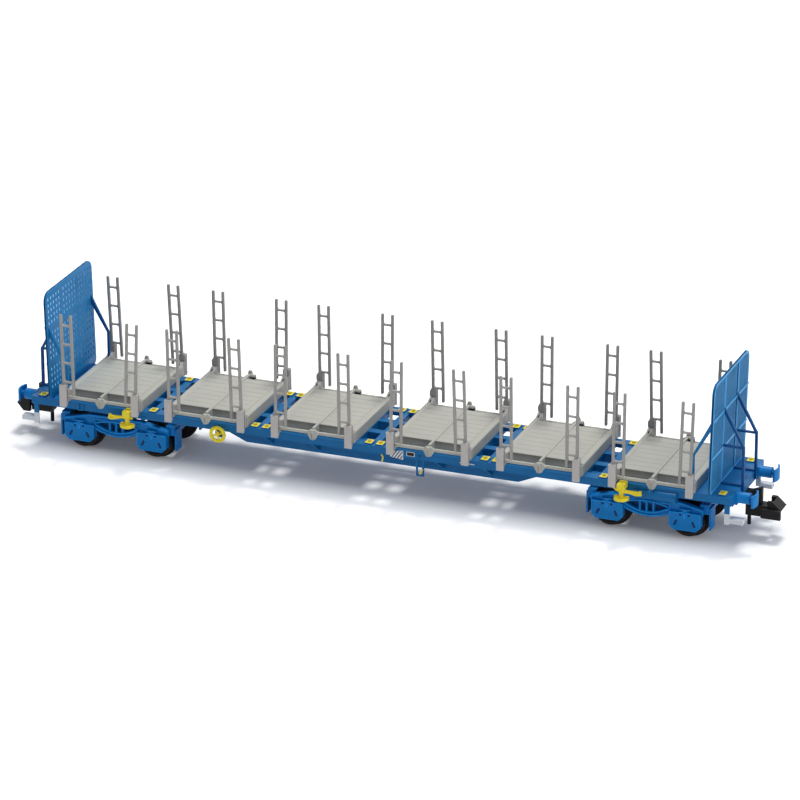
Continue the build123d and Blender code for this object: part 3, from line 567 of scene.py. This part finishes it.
# Stakes: ladders with rounded windows on a foot block, each leaning a little as in the photograph
STAKE_PLANE = 9.2
LEG = 0.42
LEG_SPACING = 1.67
RUNG = 0.28
RUNGS = (22.2, 19.03, 15.87, 12.67)
STAKE_TOP = 24.0
STAKE_SEAT = 11.2
HANGING_END = 10.4
CROOK = 0.2
TIP = 0.1
FOOT_HALF = 0.55
FOOT_CAP_HALF = 0.3
FOOT_SHOULDER = 12.15
FOOT_TOP = 12.45
FOOT_DEPTH = 0.58
FOOT_SHIFT = 0.01
# How far each stake's top leans along the wagon, in millimetres: near side, far side
STAKE_LEANS = (
    (-0.24, 0.5, -0.13, -0.3, 0.1, -0.1, 0.1, -0.36, -0.1, 0.05, 0.1, 0.33),
    (-0.45, -0.5, -0.15, 0.1, -0.1, 0.1, -0.2, -0.2, 0.0, 0.1, -0.3, 0.3),
)


def ladder():
    """One ladder in its own plane, its outer leg at 0 and its inner leg at -LEG_SPACING."""
    half = LEG / 2
    inner = -LEG_SPACING
    top, low = RUNGS[0] + RUNG / 2, RUNGS[-1] - RUNG / 2
    edge = [
        (half, STAKE_SEAT, 0),
        (half, STAKE_TOP, TIP),
        (-half, STAKE_TOP, TIP),
        (-half, top, CROOK),
        (inner + half, top, CROOK),
        (inner + half, STAKE_TOP, TIP),
        (inner - half, STAKE_TOP, TIP),
        (inner - half, HANGING_END, TIP),
        (inner + half, HANGING_END, TIP),
        (inner + half, low, CROOK),
        (-half, low, CROOK),
        (-half, STAKE_SEAT, 0),
    ]
    windows = []
    for upper, lower in zip(RUNGS, RUNGS[1:]):
        middle = (inner / 2, (upper + lower) / 2)
        windows.append(rounded(block(LEG_SPACING - LEG, upper - lower - RUNG, CROOK, middle))[::-1])
    return sheet(rounded(edge), windows, LEG, 0.04)


def ladder_foot():
    """The block that one ladder stands on, with a narrower cap."""
    edge = [
        (-FOOT_HALF, STAKE_SEAT, 0),
        (FOOT_HALF, STAKE_SEAT, 0),
        (FOOT_HALF, FOOT_SHOULDER, TIP),
        (FOOT_CAP_HALF, FOOT_TOP, TIP),
        (-FOOT_CAP_HALF, FOOT_TOP, TIP),
        (-FOOT_HALF, FOOT_SHOULDER, TIP),
    ]
    return sheet(rounded(edge), [], FOOT_DEPTH, 0.05)


def stakes():
    """Four ladders on their feet for each cradle, in place of its upright ones."""
    one, foot = ladder(), ladder_foot()
    for number, centre in enumerate(CRADLE_CENTRES):
        forms = []
        for side, leans in zip((-1, 1), STAKE_LEANS):
            for end, lean in zip((-1, 1), leans[2 * number:2 * number + 2]):
                slope = lean / (STAKE_TOP - STAKE_SEAT)
                x = centre + end * STAKE_OFFSET
                root = (x - slope * STAKE_SEAT, side * STAKE_PLANE, 0)
                forms.append(laid(one, root, (end, 0, 0), (slope, 0, 1), (0, -end, 0)))
                forms.append(laid(foot, (x, side * (STAKE_PLANE + FOOT_SHIFT), 0), *STANDING))
        piece(f"ladders_{number + 1}", forms, stake_plastic, [f"stakes_{number + 1}"])


# End walls: perforated sheet with a rim, fine and strong ribs and two bars on its outer face
WALL_HALF = 8.75
WALL_RISE = 17.9
WALL_BAR = 0.2
WALL_CORNER = 1.6
FOOT_CORNER = 0.9
RIM = 0.4
RIM_SEAT = 0.1
RIB_ROOT = 0.2
FINE_HALF = 0.09
STRONG_HALF = 0.18
BAR_HALF = 0.2
BAR_END = 0.1
STRONG_RIB_Y = 3.25
BAR_ROWS = (21.05, 14.95)
HOLE = (0.32, 0.5, 0.15)
HOLE_ROWS = (25.6, 24.6, 23.6, 22.6, 21.6, 19.7, 18.7, 17.7, 16.75, 15.8, 13.9, 12.9, 11.9, 10.9)
# The pitch of the holes between the strong ribs and outside them, with two fine ribs to a pitch
MIDDLE_PITCH, SIDE_PITCH = 1.05, 1.0
FIRST_SIDE_HOLE = 3.8
FIRST_SIDE_RIB = 3.55
HOLE_COLUMNS = [step * MIDDLE_PITCH for step in (-2, -1, 0, 1, 2)]
HOLE_COLUMNS += [side * (FIRST_SIDE_HOLE + step * SIDE_PITCH) for side in (-1, 1) for step in range(5)]
RIB_PLACES = [(step + 0.5) * MIDDLE_PITCH / 2 for step in range(-5, 5)]
RIB_PLACES += [side * (FIRST_SIDE_RIB + step * SIDE_PITCH / 2) for side in (-1, 1) for step in range(10)]


def wall_edge(inset):
    """The wall's outline in y and height, drawn in by this much."""
    half = WALL_HALF - inset
    return rounded([
        (-half, inset, FOOT_CORNER - inset / 2),
        (half, inset, FOOT_CORNER - inset / 2),
        (half, WALL_RISE - inset, WALL_CORNER - inset / 2),
        (-half, WALL_RISE - inset, WALL_CORNER - inset / 2),
    ], 8)


def rib_top(y):
    """How high a rib at this y reaches: into the rim, lower under its round corners."""
    beyond = max(abs(y) + FINE_HALF - (WALL_HALF - WALL_CORNER), 0)
    return WALL_RISE - WALL_CORNER + math.sqrt(WALL_CORNER ** 2 - beyond ** 2) - RIM / 2


def wall_forms():
    """The forms of one wall in y, height and depth outwards from its inner face."""
    slots = [
        rounded(block(*HOLE, (y, z - WALL_FOOT)))[::-1] for y in HOLE_COLUMNS for z in HOLE_ROWS
    ]
    fine_face, strong_face = WALL_SHEET + WALL_RIB, WALL_SHEET + WALL_BAR
    rim = sheet(wall_edge(0), [wall_edge(RIM)[::-1]], fine_face - RIM_SEAT, 0.04)
    forms = [
        laid(sheet(wall_edge(0), slots, WALL_SHEET, 0.04), (0, 0, WALL_SHEET / 2), *LYING),
        laid(rim, (0, 0, (fine_face + RIM_SEAT) / 2), *LYING),
    ]
    for y in RIB_PLACES:
        forms.append(brick((y - FINE_HALF, RIM, RIB_ROOT), (y + FINE_HALF, rib_top(y), fine_face)))
    for y in (-STRONG_RIB_Y, STRONG_RIB_Y):
        top = (y + STRONG_HALF, WALL_RISE - 2 * BAR_END, strong_face)
        forms.append(brick((y - STRONG_HALF, BAR_END, RIB_ROOT), top))
    for z in BAR_ROWS:
        reach, rise = WALL_HALF - BAR_END, z - WALL_FOOT
        forms.append(brick((-reach, rise - BAR_HALF, RIB_ROOT), (reach, rise + BAR_HALF, strong_face)))
    return forms


def walls():
    """Both end walls, each leaning outwards from its foot."""
    forms = wall_forms()
    for name, sign in (("left", -1), ("right", 1)):
        seat = ((sign * WALL_INNER, 0, WALL_FOOT), (0, sign, 0), (sign * WALL_LEAN, 0, 1), (sign, 0, 0))
        piece(f"wall_{name}", [laid(form, *seat) for form in forms], wall_paint, [f"end_wall_{name}"])


# Planks of the cradle floors and the caps of their beams
PLANK_PITCH = 1.7
PLANK_GAP = 0.05
PLANK_LENGTH = 5.3
PLANK_ROWS = 8
PLANK_X = 2.93
CAP_SIZE = (0.78, 16.4, 0.1)
CAP_X = 6.25
BOARD_Z = 10.65
BOARD_DEPTH = 0.12


def planks():
    """Two fields of planks on each cradle, with a cap on the beam at each end."""
    plank = sheet(rounded(block(PLANK_LENGTH, PLANK_PITCH - PLANK_GAP, 0.03)), [], BOARD_DEPTH, 0.02)
    cap = sheet(rounded(block(*CAP_SIZE)), [], BOARD_DEPTH, 0.04)
    forms = []
    for centre in CRADLE_CENTRES:
        for half in (-1, 1):
            for row in range(PLANK_ROWS):
                y = (row - (PLANK_ROWS - 1) / 2) * PLANK_PITCH
                forms.append(laid(plank, (centre + half * PLANK_X, y, BOARD_Z), *LYING))
            forms.append(laid(cap, (centre + half * CAP_X, 0, BOARD_Z), *LYING))
    piece("floor_planks", forms, cradle_plastic)


# Handwheels: a thick ring with four curved spokes on a hub and spindle
HANDWHEEL = (25.9, 8.9, 7.35)
RING_RADIUS = 1.12
RING_BAR = 0.27
SPOKE_BAR = 0.13
SPOKE_START = 0.1
SPOKE_SWEEP = 0.55
HUB_BAR = 0.3
HUB_OUT = 0.3
SPINDLE_IN = 0.6


def handwheels():
    """Both handwheels. A spoke's angle grows with its reach r by SPOKE_SWEEP * r / RING_RADIUS."""
    for name, sign in (("near", -1), ("far", 1)):
        middle = np.array(HANDWHEEL) * (sign, sign, 1)
        turn = np.linspace(0, 2 * math.pi, 40, endpoint=False)
        circle = middle + RING_RADIUS * np.c_[np.cos(turn), 0 * turn, np.sin(turn)]
        forms = [tube(circle, RING_BAR, ACROSS, closed=True)]
        reach = np.linspace(SPOKE_START, RING_RADIUS, 9)
        for quarter in range(4):
            angle = quarter * math.pi / 2 + SPOKE_SWEEP * reach / RING_RADIUS
            spoke = middle + np.c_[reach * np.cos(angle), 0 * reach, reach * np.sin(angle)]
            forms.append(tube(spoke, SPOKE_BAR, ACROSS))
        spindle = [middle + (0, sign * HUB_OUT, 0), middle, middle - (0, sign * SPINDLE_IN, 0)]
        forms.append(tube(spindle, HUB_BAR, (1, 0, 0)))
        piece(f"handwheel_ring_{name}", forms, yellow_plastic, [f"handwheel_{name}"])


# Bogies: raised rims round the truss windows and chords, painted lighter as highlight, dark sheets
# of painted shade behind the windows, and the axleboxes' lugs, bolt seats and slots, with dark
# sheets of painted shade on their floors. Outlines are in x from the pivot or axle, and z
BOGIE_X = 44.4
AXLE_X = 6.25
TRUSS_FACE = 6.75
WINDOW_BAR = 0.14
# The half width of the window, and the heights of its ends, its crown and its sag
WINDOW_HALF, WINDOW_SIDE, WINDOW_CROWN, WINDOW_SAG = 3.8, 5.2, 5.86, 3.98
# The same of the bow below it
BELLY_HALF, BELLY_SIDE, BELLY_SAG = 4.6, 5.0, 3.5
CHORD = ((-8.9, 5.45), (-6.6, 6.0), (-4.4, 6.5), (0, 6.53), (4.4, 6.5), (6.6, 6.0), (8.9, 5.45))
CHORD_BAR = 0.13
# The dark sheet of painted shade behind the window: its half width, foot and top, and from and to which y
SHEET_HALF, SHEET_FOOT, SHEET_TOP = 3.75, 4.1, 5.75
SHEET_BACK, SHEET_FRONT = 5.84, 5.94
BOX_FACE = 7.2
BOX_EDGE = ((-1.75, 2.08, 0), (1.75, 2.08, 0), (2.45, 2.78, 0), (2.45, 4.85, 0.1),
            (-2.45, 4.85, 0.1), (-2.45, 2.78, 0))
BOX_BAR = 0.09
BOX_SINK = 0.02
# Stem and cross of the lug on each axlebox: half width, and from and to which height
LUG_BARS = ((0.2, 4.0, 4.95), (0.75, 4.85, 5.08))
LUG_BACK, LUG_OUT = 0.2, 0.1
SLOT = (0.6, 1.2, 0.26)
SLOT_PLACE = (1.45, 3.2)
SLOT_LEAN = math.radians(25)
SEAT = (0.62, 0.62, 0.28)
SEAT_PLACE = (0.7, 4.6)
SEAT_BAR = 0.07


def arc(half, end, middle, steps=16):
    """Points (x, z) of the parabola z = middle + (end - middle) (x / half)^2, left to right."""
    share = np.linspace(-1, 1, steps + 1)
    return np.c_[share * half, middle + (end - middle) * share ** 2]


def stood(path, x, y):
    """A path of (x, z) points stood up at this x and y."""
    return np.c_[x + path[:, 0], np.full(len(path), y), path[:, 1]]


def leaned(outline, angle):
    """An outline of (x, z) points turned about 0, by the turning matrix of this angle."""
    return outline @ np.array([[math.cos(angle), math.sin(angle)], [-math.sin(angle), math.cos(angle)]])


def truss_rims(x, side):
    """The rims of one truss and the dark sheet of painted shade behind its window."""
    crown = arc(WINDOW_HALF, WINDOW_SIDE, WINDOW_CROWN)
    sag = arc(WINDOW_HALF, WINDOW_SIDE, WINDOW_SAG)
    face = side * TRUSS_FACE
    window = stood(np.concatenate([crown, sag[::-1][1:-1]]), x, face)
    belly = stood(arc(BELLY_HALF, BELLY_SIDE, BELLY_SAG), x, face)
    rims = [
        tube(window, WINDOW_BAR, ACROSS, closed=True),
        tube(belly, CHORD_BAR, ACROSS),
        tube(stood(np.array(CHORD), x, face), CHORD_BAR, ACROSS),
    ]
    front = (x + SHEET_HALF, side * SHEET_FRONT, SHEET_TOP)
    return rims, [brick((x - SHEET_HALF, side * SHEET_BACK, SHEET_FOOT), front)]


def box_rims(x, side):
    """The rim and lug of one axlebox, and the rims of its seats and slots with dark sheets of painted shade
    on their floors.
    """
    line = side * (BOX_FACE - BOX_SINK)
    rims = [tube(stood(rounded(BOX_EDGE), x, line), BOX_BAR, ACROSS, closed=True)]
    for half, foot, top in LUG_BARS:
        front = (x + half, side * (BOX_FACE + LUG_OUT), top)
        rims.append(brick((x - half, side * (BOX_FACE - LUG_BACK), foot), front))
    darks = []
    for end in (-1, 1):
        slot = leaned(rounded(block(*SLOT)), end * SLOT_LEAN)
        for outline, place in ((slot, SLOT_PLACE), (rounded(block(*SEAT)), SEAT_PLACE)):
            spot = np.array((end * place[0], place[1]))
            rims.append(tube(stood(outline + spot, x, line), SEAT_BAR, ACROSS, closed=True, around=8))
            floor_y = side * (BOX_FACE - BOX_SINK / 2)
            darks.append(laid(sheet(outline, [], 0.06, 0.01), (x + spot[0], floor_y, spot[1]), *STANDING))
    return rims, darks


def bogie_rims():
    """The rims, painted lighter as highlight, and the dark sheets of painted shade in the recesses, on both
    sides of each bogie, which turn with it.
    """
    for name, sign in (("left", -1), ("right", 1)):
        rims, darks = [], []
        for side in (-1, 1):
            parts = [truss_rims(sign * BOGIE_X, side)]
            parts += [box_rims(sign * BOGIE_X + axle, side) for axle in (-AXLE_X, AXLE_X)]
            for more_rims, more_darks in parts:
                rims += more_rims
                darks += more_darks
        piece(f"bogie_rims_{name}", rims, rim_highlight_paint, body=f"bogie_{name}")
        piece(f"bogie_recess_shades_{name}", darks, window_shade_paint, body=f"bogie_{name}")


# Changeover levers: curved arms to both sides of each lever's post, on the near side
ARM_BAR = 0.2
RIGHT_ARM = ((39.9, -9.1, 8.35), (40.6, -9.2, 7.9), (41.5, -9.3, 7.85), (42.5, -9.3, 7.95),
             (43.4, -9.3, 7.65), (44.4, -9.3, 7.8))
LEFT_ARM = ((-44.5, -9.3, 7.8), (-44.0, -9.3, 7.55), (-43.1, -9.3, 7.85), (-42.2, -9.3, 8.05),
            (-41.2, -9.2, 8.1), (-40.4, -9.1, 8.0))
HALF_TURN = (-1, -1, 1)


def lever_arms():
    """The arms of the near levers, and the same turned half about the wagon's middle."""
    paths = [eased(arm) * turn for arm in (RIGHT_ARM, LEFT_ARM) for turn in (1, HALF_TURN)]
    piece("lever_arms", [tube(path, ARM_BAR, ACROSS) for path in paths], yellow_plastic)


# Small plates and fittings on the near side sill
SILL_FACE = -8.15
SILL_SUNK = 0.05
PANEL_EDGE = ((2.95, 7.6, 0), (5.1, 7.35, 0), (5.1, 8.85, 0), (3.05, 8.6, 0))
PANEL_OUT = 0.04
STRIPE_LEAN, STRIPE_PITCH, STRIPE_SHARE = 0.7, 0.5, 0.66
STRIPED_X, STRIPED_Z = (0.98, 4.02), (0.62, 8.1)
PLATE_X, PLATE_Z = 6.33, 8.46
# Bricks: from and to which x, from and to which z, and how far they stand out
LUGS = (
    (7.35, 9.35, 8.62, 8.9, 0.28),
    (7.4, 7.8, 8.15, 8.65, 0.24),
    (8.75, 9.2, 8.2, 8.65, 0.24),
    (-50.3, -50.0, 7.75, 8.75, 0.22),
    (-49.55, -49.25, 7.75, 8.75, 0.22),
    (-50.1, -49.4, 7.7, 8.0, 0.18),
    (-39.3, -38.6, 7.65, 8.15, 0.2),
)
LEDGE = (14.5, 16.9, 8.24, 8.37, 0.2)
# Bars: their radius, and the points x, how far out, and z
COCK_HANDLES = (
    (0.13, ((7.85, 0.1, 5.35), (8.1, 0.14, 5.75), (8.36, 0.1, 6.2))),
    (0.12, ((1.5, 0.12, 7.75), (1.78, 0.2, 7.45), (1.74, 0.2, 7.0), (1.6, 0.12, 6.65))),
)


def on_sill(x_from, x_to, z_from, z_to, out):
    """A brick that stands out of the sill by this much."""
    return brick((x_from, SILL_FACE - out, z_from), (x_to, SILL_FACE + SILL_SUNK, z_to))


def striped_finish():
    """White with black stripes that lean, inside a white margin."""
    finish = Finish("striped panel")
    x, _, z = finish.axes()
    bars = (x - z * STRIPE_LEAN).wave(STRIPE_PITCH) > STRIPE_SHARE
    inside = x.within(*STRIPED_X) * z.within(*STRIPED_Z)
    return finish.moulded(finish.mix(bars * inside, WHITE, BLACK), shade=0.97)


def sill_fittings():
    """A striped panel, a blank plate in a white border, lugs, a ledge and two cock handles."""
    panel = sheet(rounded(PANEL_EDGE), [], 0.12, 0.02)
    border = sheet(rounded(block(1.42, 0.72, 0.05)), [], 0.12, 0.02)
    field = sheet(rounded(block(1.16, 0.5, 0.03)), [], 0.08, 0.01)
    piece("striped_panel", [laid(panel, (0, SILL_FACE - PANEL_OUT, 0), *STANDING)], striped_finish())
    piece("plate_border", [laid(border, (PLATE_X, SILL_FACE - 0.02, PLATE_Z), *STANDING)], white_plastic)
    piece("plate_field", [laid(field, (PLATE_X, SILL_FACE - 0.07, PLATE_Z), *STANDING)], black_plastic)
    piece("sill_lugs", [on_sill(*lug) for lug in LUGS], frame_paint)
    piece("sill_ledge", [on_sill(*LEDGE)], white_plastic)
    handles = []
    for bar, points in COCK_HANDLES:
        handles.append(tube([(x, SILL_FACE - out, z) for x, out, z in points], bar, ACROSS))
    piece("cock_handles", handles, yellow_plastic)


stakes()
walls()
planks()
handwheels()
bogie_rims()
lever_arms()
sill_fittings()

# Camera: the photograph's own viewpoint
AZIMUTH = math.radians(21.355)
ELEVATION = math.radians(21.985)
ROLL = math.radians(-0.208)
DISTANCE = 765.6 * MM
AIM = Vector((1.41 * MM, 0, 13.72 * MM))
LENS = 220.58

back = Vector(
    (
        math.sin(AZIMUTH) * math.cos(ELEVATION),
        -math.cos(AZIMUTH) * math.cos(ELEVATION),
        math.sin(ELEVATION),
    )
)
camera = bpy.data.objects.new("camera", bpy.data.cameras.new("camera"))
bpy.context.scene.collection.objects.link(camera)
camera.data.lens = LENS
camera.data.clip_start = 0.05
camera.data.clip_end = 20
turn = (-back).to_track_quat("-Z", "Y").to_matrix().to_4x4() @ Matrix.Rotation(ROLL, 4, "Z")
camera.matrix_world = Matrix.Translation(AIM + back * DISTANCE) @ turn
bpy.context.scene.camera = camera


def lamp(name, place, size, power, colour):
    """A square soft lamp that faces the wagon's middle, its place and size in metres."""
    light = bpy.data.lights.new(name, "AREA")
    light.size = size
    light.energy = power
    light.color = colour
    holder = bpy.data.objects.new(name, light)
    bpy.context.scene.collection.objects.link(holder)
    facing = Vector(place).to_track_quat("Z", "Y").to_matrix().to_4x4()
    holder.matrix_world = Matrix.Translation(place) @ facing


lamp("key", (0.0, 0.33, 0.84), 0.18, 4.3, (1.0, 0.99, 0.95))
lamp("side", (1.0, -0.25, 0.5), 0.6, 2.8, (0.98, 0.99, 1.0))

SKY = (0.86, 0.9, 1.0, 1.0)
SKY_LEVEL = 0.4
PAPER = (0.92, 0.92, 0.93, 1.0)
FLOOR_HALF = 3.0
# Half the length of the line that the floor fades to white away from, in millimetres
SHADOW_HALF = 58


def background():
    """White to the camera and in gloss and glass, and a dim cool light on everything else."""
    world = bpy.data.worlds.new("studio")
    world.use_nodes = True
    studio = Nodes(world.node_tree)
    dim = studio.node("ShaderNodeBackground", inputs={"Color": SKY, "Strength": SKY_LEVEL})
    bright = studio.node("ShaderNodeBackground", inputs={"Color": FULL_WHITE, "Strength": 1.0})
    seen = studio.rays("Camera", "Glossy", "Transmission")
    mixed = studio.node("ShaderNodeMixShader", inputs={0: seen, 1: dim, 2: bright})
    studio.node("ShaderNodeOutputWorld", inputs={"Surface": mixed})
    bpy.context.scene.world = world


def floor():
    """A broad pale floor that keeps the wagon's shadow and fades to white away from it."""
    mesh = bpy.data.meshes.new("floor")
    corners = [(x * FLOOR_HALF, y * FLOOR_HALF, 0) for x, y in ((-1, -1), (1, -1), (1, 1), (-1, 1))]
    mesh.from_pydata(corners, [], [(0, 1, 2, 3)])
    plane = bpy.data.objects.new("floor", mesh)
    bpy.context.scene.collection.objects.link(plane)
    finish = Finish("floor")
    x, y, _ = finish.axes()
    beyond = (SHADOW_HALF - x.size()).least(0)
    away = (beyond * beyond + y * y).root()
    # Painted light: the glow is weak close to the wagon, rises from 4 to 11 mm away and again far off, and
    # so whitens the outer part of its shadow
    fade = finish.spread(away, 4, 11, 0.06, 0.5) + finish.spread(away, 60, 400, 0.0, 0.6)
    paper = finish.node("ShaderNodeBsdfDiffuse", inputs={"Color": PAPER})
    glow = {"Color": FULL_WHITE, "Strength": fade * finish.rays("Camera")}
    light = finish.node("ShaderNodeEmission", inputs=glow)
    both = finish.node("ShaderNodeAddShader", inputs={0: paper, 1: light})
    finish.node("ShaderNodeOutputMaterial", inputs={"Surface": both})
    mesh.materials.append(finish.material)


background()
floor()
bpy.context.scene.view_settings.view_transform = "Standard"
